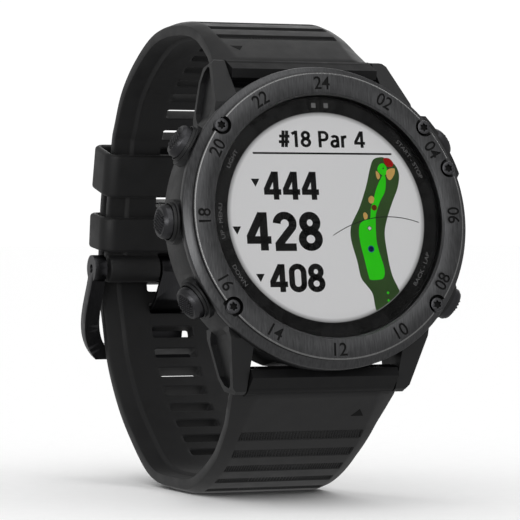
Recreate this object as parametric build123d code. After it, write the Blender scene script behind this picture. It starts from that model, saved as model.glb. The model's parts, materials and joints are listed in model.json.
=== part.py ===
from build123d import *
from math import cos, radians, sin
import os

# A round sports watch for golf on a closed silicone strap, in millimetres.
# +X points to the wearer's 3 o'clock, -Y is where the tilted face looks, +Z is up.
# The origin is the middle of the short flat at the bottom of the strap loop.
# The case has its own frame: u to 3 o'clock, v to 12 o'clock, h out of the face, and
# h = 0 at the display. Angles on the case are clockwise from 12 o'clock.

# Where the case sits on the loop
LEAN = 10.2
CASE_Y = -37.0
CASE_Z = 48.1
CASE = Location((0, CASE_Y, CASE_Z), (90 - LEAN, 0, 0))

# Case radii
CASE_R = 25.2
FLANGE_R = 25.5
BEZEL_TOP_R = 24.15
BEZEL_BORE_R = 20.4
CAVITY_R = 21.8
LENS_R = 20.2
ACTIVE_R = 17.78

# Case heights along h
BEZEL_TOP = 1.75
LENS_TOP = 1.2
FLANGE_BOTTOM = -1.7
SHELF_TOP = -0.45
CASE_BOTTOM = -12.1
SENSOR_BOTTOM = -13.1

# Bezel screws
SCREW_ANGLES = (50.5, 70.0, 129.5, 230.5, 309.5)
SCREW_R = 23.7
SCREW_HEAD_R = 1.2

# Push buttons
BUTTONS = {"light": 300.0, "up": 270.0, "down": 240.0, "start": 60.0, "back": 121.0}
BUTTON_H = -4.6
BUTTON_TIP = 28.3
BUTTON_HEAD_R = 2.9
COLLAR_R = 3.75
COLLAR_TIP = 26.5
STEM_R = 0.9
STEM_END = 20.2

# Lugs and strap bars
LUG_IN = 13.5
LUG_OUT = 18.0
BAR_V = 26.0
BAR_H = -8.6
BAR_R = 0.8
BAR_SINK = 1.4
# The scooped side of a lug, as (v, h)
LUG_LEAF = ((16.5, -6.6), (18.8, -3.2), (20.6, -3.6), (26.9, -7.8), (27.2, -8.8), (26.5, -10.2),
            (24.9, -11.2), (19.6, -11.2), (16.5, -9.4))

# Strap
STRAP_W = 26.0
STRAP_T = 3.2
ROOT_W = 31.4
SLOT_W = 8.1
SLOT_H = 2.1
SLOT_PITCH = 4.6
FLAT_HALF = 4.0
LUG_GAP_V = 28.45

# Slots: the first of each strap is measured along its outer line from the lugs
SHORT_FIRST = 33.2
SHORT_SLOTS = 11
LONG_FIRST = 58.2
LONG_SLOTS = 14
TONGUE_SLOT = 8

# Release latches on the straps' inner side
LATCH_AT = 9.0
LATCH_DEPTH = 2.6
LATCH_T = 1.1
LATCH_TRAVEL = 1.6

# Inside the case
MOTOR = (8.4, -9.8)
CHARGE_V = -15.0

# Buckle and keepers
PIN = (36.3, 38.7)
PIN_R = 0.75
BAR = (40.4, 23.2)
BUCKLE_BAR_R = 1.25
HUB_R = 2.3
EAR_R = 2.5
KEEPER_WALL = 1.5
KEEPER_GAP = 0.3
STRAP_GAP = 0.15

# Outer face of the 12 o'clock strap, from the bend over the lugs to the keepers
SHORT_OUTER = (
    (-24.2, 74.5), (-16.6, 78.4), (-8.5, 81.5), (0.0, 82.4), (11.6, 81.3),
    (20.0, 77.8), (26.0, 74.0), (30.4, 69.6), (33.1, 65.2),
)
# Outer face of the 6 o'clock strap: root side and back side of the standing flat
LONG_FRONT = (
    (-34.2, 18.8), (-26.9, 12.0), (-21.1, 7.1), (-12.6, 2.2), (-FLAT_HALF, 0.0),
)
LONG_BACK = (
    (FLAT_HALF, 0.0), (13.2, 1.1), (22.9, 6.4), (28.9, 11.0), (34.3, 16.9),
    (37.7, 22.4), (39.5, 27.4), (41.3, 32.2), (42.2, 35.8),
)

# Straight runs of the 12 o'clock strap's outer face behind the wrist
UPPER_RUN = ((34.3, 63.0), (37.4, 50.6))
LOWER_RUN = ((37.75, 48.4), (38.85, 39.4))


def polar(radius, angle, h=0.0):
    """A point on the case, with the angle clockwise from 12 o'clock."""
    a = radians(angle)
    return (radius * sin(a), radius * cos(a), h)


def ring(outer, inner, low, high):
    """A flat ring about the case axis."""
    shape = Pos(0, 0, low) * extrude(Circle(outer), high - low)
    return shape - Pos(0, 0, low - 1) * extrude(Circle(inner), high - low + 2)


def disc(radius, low, high, u=0.0, v=0.0):
    """A flat disc standing on the case's h axis."""
    return Pos(u, v, low) * extrude(Circle(radius), high - low)


def block(size_u, size_v, low, high, u=0.0, v=0.0):
    """A rectangular block in the case frame."""
    return Pos(u, v, (low + high) / 2) * Box(size_u, size_v, high - low)


def radial(angle, h=BUTTON_H):
    """A frame on the case axis whose +Z points outwards at an angle."""
    a = radians(angle)
    return Plane(origin=(0, 0, h), x_dir=(cos(a), -sin(a), 0), z_dir=(sin(a), cos(a), 0))


def rod(plane, radius, start, end):
    """A round rod along a plane's normal."""
    return plane * Pos(0, 0, start) * extrude(Circle(radius), end - start)


def save(shape, name, place=CASE):
    """Writes one sub-part, placed in the watch frame."""
    export_step(place * shape if place else shape, f"parts/{name}.step")


# ---------------------------------------------------------------- case shells
def bezel():
    """The titanium ring: flat brushed top, dark cove and lower flange, screw seats."""
    with_cove = Polyline(
        (22.5, FLANGE_BOTTOM), (22.5, -0.2), (BEZEL_BORE_R, -0.2), (BEZEL_BORE_R, 1.38),
        (20.75, BEZEL_TOP), (BEZEL_TOP_R - 0.15, BEZEL_TOP), (BEZEL_TOP_R, BEZEL_TOP - 0.15),
        (BEZEL_TOP_R, 0.75), (24.75, 0.3), (25.25, 0.05), (FLANGE_R, -0.2), (FLANGE_R, -1.45),
        (25.3, FLANGE_BOTTOM), close=True)
    shape = revolve(Plane.XZ * make_face(with_cove), Axis.Z)
    for angle in SCREW_ANGLES:
        u, v, _ = polar(SCREW_R, angle)
        shape -= disc(1.62, 0.55, 3, u, v)
        shape -= disc(0.62, -3, 3, u, v)
    return shape


def torx_screw(head_r, head_low, head_high, shaft_r, shaft_low, lobe_r):
    """A button-head screw with a six-lobe socket."""
    head = disc(head_r, head_low, head_high)
    head = chamfer(head.edges().group_by(Axis.Z)[-1], 0.15)
    socket = disc(lobe_r * 0.72, head_high - 0.45, head_high + 1)
    for lobe in range(6):
        u, v, _ = polar(lobe_r * 0.72, 60 * lobe)
        socket += disc(lobe_r * 0.28, head_high - 0.45, head_high + 1, u, v)
    return head - socket + disc(shaft_r, shaft_low, head_low)


def bezel_screws():
    """Five screws that hold the bezel to the case."""
    screw = torx_screw(SCREW_HEAD_R, 0.6, 1.6, 0.58, -6.5, 0.68)
    return [Pos(*polar(SCREW_R, angle)) * screw for angle in SCREW_ANGLES]


def lug(side, end):
    """One lug: front slope, oblique tip, scooped side, bored for the strap bar."""
    outline = Polyline((17, -1.9), (19.8, -1.9), (28.0, -7.3), (28.35, -8.4), (27.5, -10.9),
                       (25.2, -12.1), (17, -12.1), close=True)
    wide = Plane.YZ * make_face(outline)
    body = Pos(LUG_IN, 0, 0) * extrude(wide, LUG_OUT - LUG_IN)
    slope = Polyline((LUG_OUT + 0.01, 15), (LUG_OUT + 0.01, 18.5), (16.0, 27.4), (15.3, 28.1),
                     (15.3, 31), (22, 31), (22, 15), close=True)
    body -= Pos(0, 0, -15) * extrude(make_face(slope), 15)
    floor = Polyline((19, 15), (18.2, 15), (16.8, 19.5), (15.4, 26.0), (15.4, 29), (19, 29), close=True)
    leaf = make_face(Polyline(*LUG_LEAF, close=True))
    body -= (Pos(0, 0, -14) * extrude(make_face(floor), 13)) & (
        Pos(LUG_IN, 0, 0) * extrude(Plane.YZ * leaf, 6))
    body -= Pos(LUG_IN - 1, BAR_V, BAR_H) * Rot(0, 90, 0) * extrude(Circle(BAR_R + 0.02), BAR_SINK + 1)
    if end < 0:
        body = mirror(body, Plane.XZ)
    return body if side > 0 else mirror(body, Plane.YZ)


def start_guard():
    """The raised shoulder of the case around the start button."""
    low, high, reach = -7.9, -1.9, 27.0
    band = ring(reach, 24.0, low, high)
    wedge = Polyline((0, 0), polar(40, 47)[:2], polar(40, 61)[:2], polar(40, 75)[:2], close=True)
    band &= Pos(0, 0, low - 1) * extrude(make_face(wedge), high - low + 2)
    ends = band.edges().filter_by(Axis.Z).filter_by(lambda e: e.center().X**2 + e.center().Y**2 > 26**2)
    return chamfer(ends, 0.9)


def mid_case():
    """The reinforced polymer body with cavity, lugs, button collars and lens shelf."""
    outline = Polyline(
        (19.3, SHELF_TOP), (20.65, SHELF_TOP), (20.65, -0.3), (22.4, -0.3), (22.4, -1.75),
        (24.6, -1.75), (24.6, -2.2), (CASE_R, -2.45), (CASE_R, -9.6), (24.3, -11.2),
        (23.2, CASE_BOTTOM), (22.0, CASE_BOTTOM), (22.0, -10.9), (20.9, -10.9), (20.9, -10.2),
        (CAVITY_R, -10.2), (CAVITY_R, -1.6), (19.3, -1.6), close=True)
    shape = revolve(Plane.XZ * make_face(outline), Axis.Z)
    shape += [lug(side, end) for side in (-1, 1) for end in (-1, 1)]
    shape -= disc(CAVITY_R, -10.2, -1.6) + disc(22.0, -14, -10.9)
    shape += start_guard()
    for name, angle in BUTTONS.items():
        at = radial(angle)
        shape += rod(at, COLLAR_R, 22.5, 25.9 if name == "start" else COLLAR_TIP - 0.5)
        shape += rod(at, COLLAR_R - 0.5, 25.5, COLLAR_TIP)
        shape -= rod(at, BUTTON_HEAD_R + 0.15, 23.6, 31)
        shape -= rod(at, 1.9, 20.5, 24)
    shape -= ring(25.7, 22.4, -1.75, 3)
    for end in (-1, 1):
        shape -= block(2 * LUG_IN - 0.2, 6, -13, -4.1, 0, end * (23.4 + 3))
    for angle in (45, 135, 225, 315):
        u, v, _ = polar(19.6, angle)
        shape += disc(1.9, -10.9, -8.4, u, v) & disc(22.0, -11, -8)
        shape -= disc(0.62, -11, -8.6, u, v)
    for angle in SCREW_ANGLES:
        u, v, _ = polar(SCREW_R, angle)
        shape -= disc(0.6, -6.6, 0, u, v)
    return shape


def lens():
    """The flat scratch-proof glass, with a bevelled rim."""
    glass = disc(LENS_R, 0.0, LENS_TOP)
    return chamfer(glass.edges().group_by(Axis.Z)[-1], 0.25)


def display_panel():
    """The round display with a raised active area."""
    return disc(18.9, -1.6, -0.3) + disc(ACTIVE_R - 0.08, -0.3, -0.03)


def inner_frame():
    """The carrier plate between the display and the board."""
    plate = disc(20.6, -3.0, -2.2) + ring(20.6, 19.2, -2.2, -1.7)
    return plate - block(8, 3, -4, -1, 0, -14) - block(3, 10, -4, -1, -14, 0)


# ---------------------------------------------------------------- electronics
def main_board():
    """The round circuit board, notched for the five switches."""
    board = disc(20.4, -4.3, -3.3)
    for angle in BUTTONS.values():
        board -= rod(radial(angle, -3.8), 2.6, 17.2, 24)
    return board


def board_chips():
    """Processor, radio, memory and satellite receiver packages."""
    places = ((-6, 9, 6, 6), (3, 10, 5, 4), (10, 6, 4, 4), (-11, 1, 3, 4), (2, 3.5, 3, 3))
    return [block(w, d, -5.3, -4.32, u, v) for u, v, w, d in places]


def button_switches():
    """Five side-push switches with their domes."""
    parts = []
    for angle in BUTTONS.values():
        at = radial(angle)
        parts.append(at * Pos(0, 0, 18.2) * Box(3.6, 2.6, 1.6) + rod(at, 0.8, 18.9, 19.35))
    return parts


def gps_antenna():
    """The curved satellite antenna at the top of the cavity."""
    band = ring(21.6, 20.8, -3.6, -1.7)
    wedge = Polyline((0, 0), polar(40, 318)[:2], (0, 60), polar(40, 42)[:2], close=True)
    return band & Pos(0, 0, -5) * extrude(make_face(wedge), 5)


def motor_case():
    """The coin motor's cup and lid with the fixed shaft."""
    cup = disc(4.0, -8.6, -5.6, *MOTOR) - disc(3.6, -8.3, -5.9, *MOTOR)
    return cup + disc(0.35, -8.3, -5.9, *MOTOR)


def motor_rotor():
    """The off-centre rotor that makes the watch shake."""
    body = disc(3.2, -8.0, -6.2, *MOTOR) - block(8, 3.4, -9, -5, MOTOR[0], MOTOR[1] + 2.4)
    hub = disc(1.0, -8.0, -6.2, *MOTOR)
    return body + hub - disc(0.4, -9, -5, *MOTOR)


def battery():
    """The pouch cell."""
    cell = block(25, 15.5, -9.8, -6.1, -2, 4.2)
    return fillet(cell.edges().filter_by(Axis.Z), 2.0)


# ---------------------------------------------------------------- rear side
def rear_cover():
    """The back plate, cut for the sensor window and the charging socket."""
    cover = disc(21.85, -12.3, -11.2)
    cover = chamfer(cover.edges().group_by(Axis.Z)[0], 0.4)
    cover -= disc(8.1, -13, -11, 0, 0)
    cover -= block(8.2, 4.2, -13, -11, 0, CHARGE_V)
    for angle in (45, 135, 225, 315):
        u, v, _ = polar(19.6, angle)
        cover -= disc(1.4, -13, -11.75, u, v) + disc(0.65, -13, -11, u, v)
    return cover


def rear_cover_screws():
    """Four screws that hold the back plate."""
    screw = Rot(180, 0, 0) * torx_screw(1.3, 11.77, 12.25, 0.58, 8.7, 0.6)
    return [Pos(*polar(19.6, angle)) * screw for angle in (45, 135, 225, 315)]


def sensor_window():
    """The raised optical window over the pulse sensor."""
    dome = disc(8.0, SENSOR_BOTTOM, -11.5)
    return chamfer(dome.edges().group_by(Axis.Z)[0], 0.7)


def sensor_leds():
    """Emitters and receivers behind the window."""
    return [block(1.6, 1.6, -11.48, -11.0, *polar(4.2, angle)[:2]) for angle in range(0, 360, 60)]


def charging_socket():
    """The insulator block that holds the four charging pins."""
    body = block(8.0, 4.0, -12.1, -9.6, 0, CHARGE_V) - block(6.6, 2.6, -13, -10.6, 0, CHARGE_V)
    for u in (-2.1, -0.7, 0.7, 2.1):
        body -= disc(0.32, -13, -9, u, CHARGE_V)
    return body


def charging_pins():
    """The four gold pins."""
    return [disc(0.3, -11.6, -9.2, u, CHARGE_V) for u in (-2.1, -0.7, 0.7, 2.1)]


# ---------------------------------------------------------------- buttons
def button(angle, tip=BUTTON_TIP):
    """A round cap with a knurled end on a grooved stem."""
    at = radial(angle)
    head = at * Pos(0, 0, 24.6) * extrude(Circle(BUTTON_HEAD_R), tip - 24.6)
    rim = head.edges().filter_by(GeomType.CIRCLE).sort_by(Axis(at.origin, at.z_dir))[-1]
    head = chamfer(rim, 0.45)
    stem = rod(at, STEM_R, STEM_END, 24.7)
    stem -= rod(at, 2, 22.4, 23.1) - rod(at, 0.6, 22.3, 23.2)
    stem -= rod(at, 2, 20.5, 20.95) - rod(at, 0.55, 20.4, 21.0)
    return head + stem


def button_seal(angle):
    """The O-ring in the stem's groove."""
    at = radial(angle)
    seal = rod(at, 0.95, 22.45, 23.05) - rod(at, 0.62, 22.3, 23.2)
    return fillet(seal.edges().filter_by(GeomType.CIRCLE), 0.12)


def button_clip(angle):
    """The clip that keeps the button in its sleeve."""
    at = radial(angle)
    clip = rod(at, 1.5, 20.52, 20.93) - rod(at, 0.58, 20.4, 21.1)
    return clip - at * Pos(0, 1.5, 20.7) * Box(0.8, 3, 1)


def button_sleeves():
    """Five metal guide sleeves set in the case wall."""
    parts = []
    for angle in BUTTONS.values():
        at = radial(angle)
        parts.append(rod(at, 1.88, 21.0, 23.6) - rod(at, 1.0, 20.5, 24))
    return parts


# ---------------------------------------------------------------- strap curves
def on_loop(points):
    """Loop points, given as (y, z), in the watch frame."""
    return [Vector(0, y, z) for y, z in points]


def run_side(run, offset, part):
    """A point of a straight run, moved outwards by an offset."""
    a, b = on_loop(run)
    along = (b - a).normalized()
    outward = Vector(0, -along.Z, along.Y)
    return a + (b - a) * part + outward * offset


def heading(points, first):
    """The direction at one end of a list of loop points."""
    a, b = on_loop(points[:2] if first else points[-2:])
    return (b - a).normalized()


def short_outer():
    """The outer line of the 12 o'clock strap, from the lugs down to the pin."""
    bend = Spline(*on_loop(SHORT_OUTER), run_side(UPPER_RUN, 0, 0),
                  tangents=(Vector(0, 0.88, 0.475), heading(UPPER_RUN, True)))
    upper = Line(run_side(UPPER_RUN, 0, 0), run_side(UPPER_RUN, 0, 1))
    knee = Spline(run_side(UPPER_RUN, 0, 1), run_side(LOWER_RUN, 0, 0),
                  tangents=(heading(UPPER_RUN, True), heading(LOWER_RUN, True)))
    lower = Line(run_side(LOWER_RUN, 0, 0), run_side(LOWER_RUN, 0, 1))
    return Wire([bend, upper, knee, lower])


def long_outer():
    """The outer line of the 6 o'clock strap, from the lugs to the end of the tail."""
    proud = STRAP_GAP + STRAP_T
    front = Spline(*on_loop(LONG_FRONT), tangents=(Vector(0, 0.74, -0.67), Vector(0, 1, 0)))
    flat = Line(*on_loop(((-FLAT_HALF, 0), (FLAT_HALF, 0))))
    join = run_side(LOWER_RUN, proud, 0.98)
    back = Spline(*on_loop(LONG_BACK), join,
                  tangents=(Vector(0, 1, 0), heading(LOWER_RUN, True) * -1))
    lower = Line(join, run_side(LOWER_RUN, proud, 0))
    knee = Spline(lower @ 1, run_side(UPPER_RUN, proud, 1),
                  tangents=(heading(LOWER_RUN, True) * -1, heading(UPPER_RUN, True) * -1))
    upper = Line(knee @ 1, run_side(UPPER_RUN, proud, 0.3))
    return Wire([front, flat, back, lower, knee, upper])


def strap_body(outer, inward, root_t):
    """A strap between its outer line and an inner line, thicker at the root."""
    count = 36
    inner = []
    for i in range(count + 1):
        t = i / count
        along = outer.tangent_at(t)
        side = Vector(0, -along.Z, along.Y) * inward
        root = max(0.0, 1 - t * outer.length / 14.0)
        inner.append(outer.position_at(t) + side * (STRAP_T + (root_t - STRAP_T) * root * root))
    under = Spline(*inner)
    edge = Wire([*outer.edges(), Line(outer @ 1, under @ 1), under, Line(under @ 0, outer @ 0)])
    return extrude(Face(edge), ROOT_W / 2, (1, 0, 0), both=True)


def plan_cut(y_root, y_waist):
    """The plan outline: wide shoulders at the lugs that narrow to the strap."""
    r, w = ROOT_W / 2, STRAP_W / 2
    half = ((r, -60), (r, y_root), (w + 0.9, (y_root + y_waist) / 2 - 1), (w, y_waist), (w, 60))
    outline = list(half) + [(-x, y) for x, y in reversed(half)]
    return Pos(0, 0, -10) * extrude(make_face(Polyline(*outline, close=True)), 110)


def slot_at(outer, inward, length):
    """The cutter for one strap slot at a path length."""
    t = length / outer.length
    along = outer.tangent_at(t)
    side = Vector(0, -along.Z, along.Y) * inward
    at = Plane(origin=outer.position_at(t), x_dir=(1, 0, 0), z_dir=side)
    return at * extrude(RectangleRounded(SLOT_W, SLOT_H, 0.6), 12, both=True)


def connector(end):
    """The hard strap end: hook round the bar, front lip and the tang in the strap."""
    lip = Polyline((26.1, -4.7), (28.3, -7.9), (28.6, -9.6), (BAR_V, BAR_H - 2.4),
                   (24.0, -8.6), (24.6, -5.2), close=True)
    face = make_face(lip) + Pos(BAR_V, BAR_H) * Circle(2.35)
    face -= Pos(BAR_V, BAR_H) * Circle(BAR_R + 0.06)
    hook = extrude(Plane.YZ * face, LUG_IN - 0.3, both=True)
    return hook if end > 0 else mirror(hook, Plane.XZ)


def strap_root(end):
    """The space of the connector with a little room round it."""
    lip = Polyline((20, -3.0), (28.35, -7.8), (28.75, -9.6), (26.2, -11.4), (20, -11.4), close=True)
    face = make_face(lip) + Pos(BAR_V, BAR_H) * Circle(2.45)
    room = extrude(Plane.YZ * face, 30, both=True)
    return CASE * (room if end > 0 else mirror(room, Plane.XZ))


def latch_frame(outer, inward, depth, length):
    """A frame on the strap's inner side: +X across, +Y along the strap, +Z inwards."""
    t = length / outer.length
    along = outer.tangent_at(t)
    side = Vector(0, -along.Z, along.Y) * inward
    return Plane(origin=outer.position_at(t) + side * depth, x_dir=(1, 0, 0) if inward < 0
                 else (-1, 0, 0), z_dir=side)


def strap_upper():
    """The 12 o'clock strap with slots, pin loop and tongue notch."""
    outer = short_outer()
    body = strap_body(outer, -1, 4.6)
    loop = extrude(Plane.YZ * Pos(*PIN) * Circle(2.6), STRAP_W / 2, both=True)
    body = (body + loop) & plan_cut(-24.5, -11)
    body -= strap_root(1)
    body -= CASE * block(60, 40, -16, 6, 0, LUG_GAP_V - 20)
    body -= extrude(Plane.YZ * Pos(*PIN) * Circle(PIN_R + 0.03), 20, both=True)
    body -= Pos(0, PIN[0], PIN[1] - 0.3) * Box(6.2, 8, 6.6)
    for i in range(SHORT_SLOTS):
        body -= slot_at(outer, -1, SHORT_FIRST + i * SLOT_PITCH)
    body -= latch_pocket(outer, -1)
    return body


def strap_lower():
    """The 6 o'clock strap with the adjustment slots and the tail."""
    outer = long_outer()
    body = strap_body(outer, 1, 4.6) & plan_cut(-32.5, -20)
    body -= strap_root(-1)
    body -= CASE * block(60, 40, -16, 6, 0, 20 - LUG_GAP_V)
    for i in range(LONG_SLOTS):
        body -= slot_at(outer, 1, LONG_FIRST + i * SLOT_PITCH)
    body -= latch_pocket(outer, 1)
    return body


def latch_pocket(outer, inward):
    """The pocket on the inner side in which the release latch slides."""
    at = latch_frame(outer, inward, LATCH_DEPTH, LATCH_AT)
    return at * Pos(0, 0, 2.5) * Box(12.6, 6.4, 5)


def latch(outer, inward):
    """The release latch: a ribbed slider."""
    at = latch_frame(outer, inward, LATCH_DEPTH, LATCH_AT)
    toward = 1 if (at.y_dir.dot(outer.tangent_at(0.1))) > 0 else -1
    shift = -toward * LATCH_TRAVEL / 2
    plate = Pos(0, shift, 0.3 + LATCH_T / 2) * Box(12.0, 6.4 - LATCH_TRAVEL - 0.6, LATCH_T)
    for rib in (-1, 0, 1):
        plate += Pos(0, shift + rib * 1.2, 0.3 + LATCH_T + 0.15) * Box(8, 0.5, 0.35)
    return at * plate


# ---------------------------------------------------------------- buckle
def buckle_plane():
    """The buckle frame's plane: X across, Y from the pin down to the bar, Z outwards."""
    down = Vector(0, BAR[0] - PIN[0], BAR[1] - PIN[1]).normalized()
    outward = Vector(0, -down.Z, down.Y)
    return Plane(origin=(0, *PIN), x_dir=(-1, 0, 0), z_dir=outward)


def buckle_frame():
    """The bowed steel frame with round ears on the pin and a notched bar."""
    reach = (Vector(*BAR) - Vector(*PIN)).length
    at = buckle_plane()
    sign = 1 if at.y_dir.Z < 0 else -1
    outer = Spline((16.0, 0), (16.5, sign * 6), (16.7, sign * 11), (14.0, sign * (reach + 1.3)))
    inner = Spline((13.7, 0), (13.8, sign * 6), (13.9, sign * 10.5), (12.4, sign * (reach - 1.3)))
    side = make_face([outer, Line(outer @ 1, inner @ 1), inner, Line(inner @ 0, outer @ 0)])
    bar = Pos(0, sign * reach) * Rectangle(28.0, 2 * BUCKLE_BAR_R)
    flat = side + mirror(side, Plane.YZ) + bar
    body = at * extrude(flat, 1.25, both=True)
    for x in (13.7, -16.0):
        body += Pos(x, *PIN) * Rot(0, 90, 0) * extrude(Circle(EAR_R), 2.3)
    body -= Pos(-20, *PIN) * Rot(0, 90, 0) * extrude(Circle(PIN_R + 0.05), 40)
    body -= at * Pos(0, sign * reach, 1.25) * Box(8.6, 5, 2.3)
    return body


def buckle_tongue():
    """The flared tongue: hub on the pin, plate, slot crossing and tip on the bar."""
    outer = long_outer()
    t = (LONG_FIRST + TONGUE_SLOT * SLOT_PITCH) / outer.length
    along = outer.tangent_at(t)
    outward = Vector(0, along.Z, -along.Y)
    crossing = outer.position_at(t)
    inside = crossing - outward * (STRAP_T + 0.7)
    outside = crossing + outward * 0.9
    points = [Vector(0, PIN[0] - HUB_R + 0.5, PIN[1] - 0.5), Vector(0, inside.Y - 1.2, inside.Z + 1.6),
              inside, outside, Vector(0, BAR[0] + 1.1, outside.Z - 1.7),
              Vector(0, BAR[0] + 1.1, BAR[1] - 0.8)]
    line = FilletPolyline(*[(p.Y, p.Z) for p in points], radius=0.75)
    plate = extrude(Plane.YZ * trace(line, 1.0), 5, both=True)
    flare = Polyline((-2.7, 40), (-2.7, 37.5), (-3.9, 31.5), (-3.9, 27.5), (-3.2, 21.5), (3.2, 21.5),
                     (3.9, 27.5), (3.9, 31.5), (2.7, 37.5), (2.7, 40), close=True)
    plate &= Pos(0, 60, 0) * extrude(Plane.XZ * make_face(flare), 60)
    hub = extrude(Plane.YZ * Pos(*PIN) * Circle(HUB_R), 2.7, both=True)
    return plate + hub - extrude(Plane.YZ * Pos(*PIN) * Circle(PIN_R + 0.05), 20, both=True)


def buckle_pin():
    """The pin through the ears, the strap loop and the tongue."""
    return extrude(Plane.YZ * Pos(*PIN) * Circle(PIN_R), 15.7, both=True)


def keeper(run, part, length, slant):
    """A rounded strap loop round both straps, square to a straight run."""
    a, b = on_loop(run)
    along = (b - a).normalized()
    outward = Vector(0, -along.Z, along.Y)
    thick = 2 * STRAP_T + STRAP_GAP
    centre = a + (b - a) * part + outward * ((STRAP_GAP + STRAP_T) - thick / 2)
    at = Plane(origin=centre, x_dir=(1, 0, 0), z_dir=along)
    inner = RectangleRounded(STRAP_W + 2 * KEEPER_GAP, thick + 2 * KEEPER_GAP, 0.5)
    outer = RectangleRounded(STRAP_W + 2 * (KEEPER_GAP + KEEPER_WALL),
                             thick + 2 * (KEEPER_GAP + KEEPER_WALL), 2.7)
    body = extrude(outer - inner, length / 2, both=True)
    return at * fillet(body.faces().sort_by(Axis.Z)[-1].edges() + body.faces().sort_by(Axis.Z)[0].edges(),
                       slant)


def build():
    """Writes every sub-part."""
    os.makedirs("parts", exist_ok=True)
    save(bezel(), "bezel")
    save(Compound(bezel_screws()), "bezel_screws")
    save(mid_case(), "mid_case")
    save(lens(), "lens")
    save(ring(20.15, ACTIVE_R + 0.02, -0.12, 0), "lens_mask")
    save(ring(20.2, 19.4, SHELF_TOP, -0.12), "lens_gasket")
    save(display_panel(), "display_panel")
    save(disc(18.6, -2.1, -1.65), "display_backlight")
    save(inner_frame(), "inner_frame")
    save(main_board(), "main_board")
    save(Compound(board_chips()), "board_chips")
    save(Compound(button_switches()), "button_switches")
    save(gps_antenna(), "gps_antenna")
    save(battery(), "battery")
    save(motor_case(), "motor_case")
    save(motor_rotor(), "motor_rotor")
    save(disc(4.5, -10.4, -9.9, -7.2, -9.4), "piezo_buzzer")
    save(block(2.6, 2.6, -5.4, -4.32, 3.0, -17.0), "barometer")
    save(rear_cover(), "rear_cover")
    save(ring(21.8, 21.0, -11.2, -10.9), "rear_cover_gasket")
    save(Compound(rear_cover_screws()), "rear_cover_screws")
    save(sensor_window(), "sensor_window")
    save(disc(7.4, -10.98, -10.4), "sensor_board")
    save(Compound(sensor_leds()), "sensor_leds")
    save(charging_socket(), "charging_socket")
    save(Compound(charging_pins()), "charging_pins")
    save(Compound(button_sleeves()), "button_sleeves")
    for name, angle in BUTTONS.items():
        save(button(angle), f"button_{name}")
        save(button_seal(angle), f"seal_{name}")
        save(button_clip(angle), f"clip_{name}")
    for name, end in (("upper", 1), ("lower", -1)):
        half_bar = LUG_IN + BAR_SINK - 0.1
        bar = Pos(-half_bar, end * BAR_V, BAR_H) * Rot(0, 90, 0) * extrude(Circle(BAR_R), 2 * half_bar)
        save(bar, f"lug_bar_{name}")
        save(connector(end), f"connector_{name}")
    save(strap_upper(), "strap_upper", None)
    save(strap_lower(), "strap_lower", None)
    save(latch(short_outer(), -1), "latch_upper", None)
    save(latch(long_outer(), 1), "latch_lower", None)
    save(buckle_frame(), "buckle_frame", None)
    save(buckle_tongue(), "buckle_tongue", None)
    save(buckle_pin(), "buckle_pin", None)
    save(keeper(UPPER_RUN, 0.5, 8.0, 0.6), "keeper_free", None)
    save(keeper(LOWER_RUN, 0.33, 6.4, 0.6), "keeper_buckle", None)


build()
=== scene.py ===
import json
import math

import bmesh
import bpy
import numpy as np
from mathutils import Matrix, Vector

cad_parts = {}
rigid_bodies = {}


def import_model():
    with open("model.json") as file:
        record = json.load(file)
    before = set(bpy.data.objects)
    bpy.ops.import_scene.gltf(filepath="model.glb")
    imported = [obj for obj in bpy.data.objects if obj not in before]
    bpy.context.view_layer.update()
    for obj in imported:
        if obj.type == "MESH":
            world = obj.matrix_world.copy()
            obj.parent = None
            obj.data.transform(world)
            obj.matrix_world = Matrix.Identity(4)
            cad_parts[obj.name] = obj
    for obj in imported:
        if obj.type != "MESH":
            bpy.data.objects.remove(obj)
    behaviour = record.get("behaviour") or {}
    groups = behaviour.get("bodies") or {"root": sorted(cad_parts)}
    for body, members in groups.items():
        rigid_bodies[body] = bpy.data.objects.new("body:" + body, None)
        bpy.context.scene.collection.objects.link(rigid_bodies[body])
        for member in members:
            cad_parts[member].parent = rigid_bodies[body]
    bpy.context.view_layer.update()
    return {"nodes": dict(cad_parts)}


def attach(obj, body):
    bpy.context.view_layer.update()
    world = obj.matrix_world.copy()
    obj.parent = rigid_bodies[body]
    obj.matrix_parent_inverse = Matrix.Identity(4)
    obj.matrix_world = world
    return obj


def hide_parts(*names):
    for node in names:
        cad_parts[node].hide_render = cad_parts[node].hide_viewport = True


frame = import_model()
NODES = frame["nodes"]
MM = 0.001

# The case frame: u to 3 o'clock, v to 12 o'clock, h out of the face, in millimetres
LEAN = math.radians(10.2)
CASE_Y, CASE_Z = -37.0, 48.1
ACTIVE_R = 17.7
SCREW_ANGLES, SCREW_R = (50.5, 70.0, 129.5, 230.5, 309.5), 23.7
BUTTONS = {"light": 300.0, "up": 270.0, "down": 240.0, "start": 60.0, "back": 121.0}
BUTTON_H = -4.6

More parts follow.
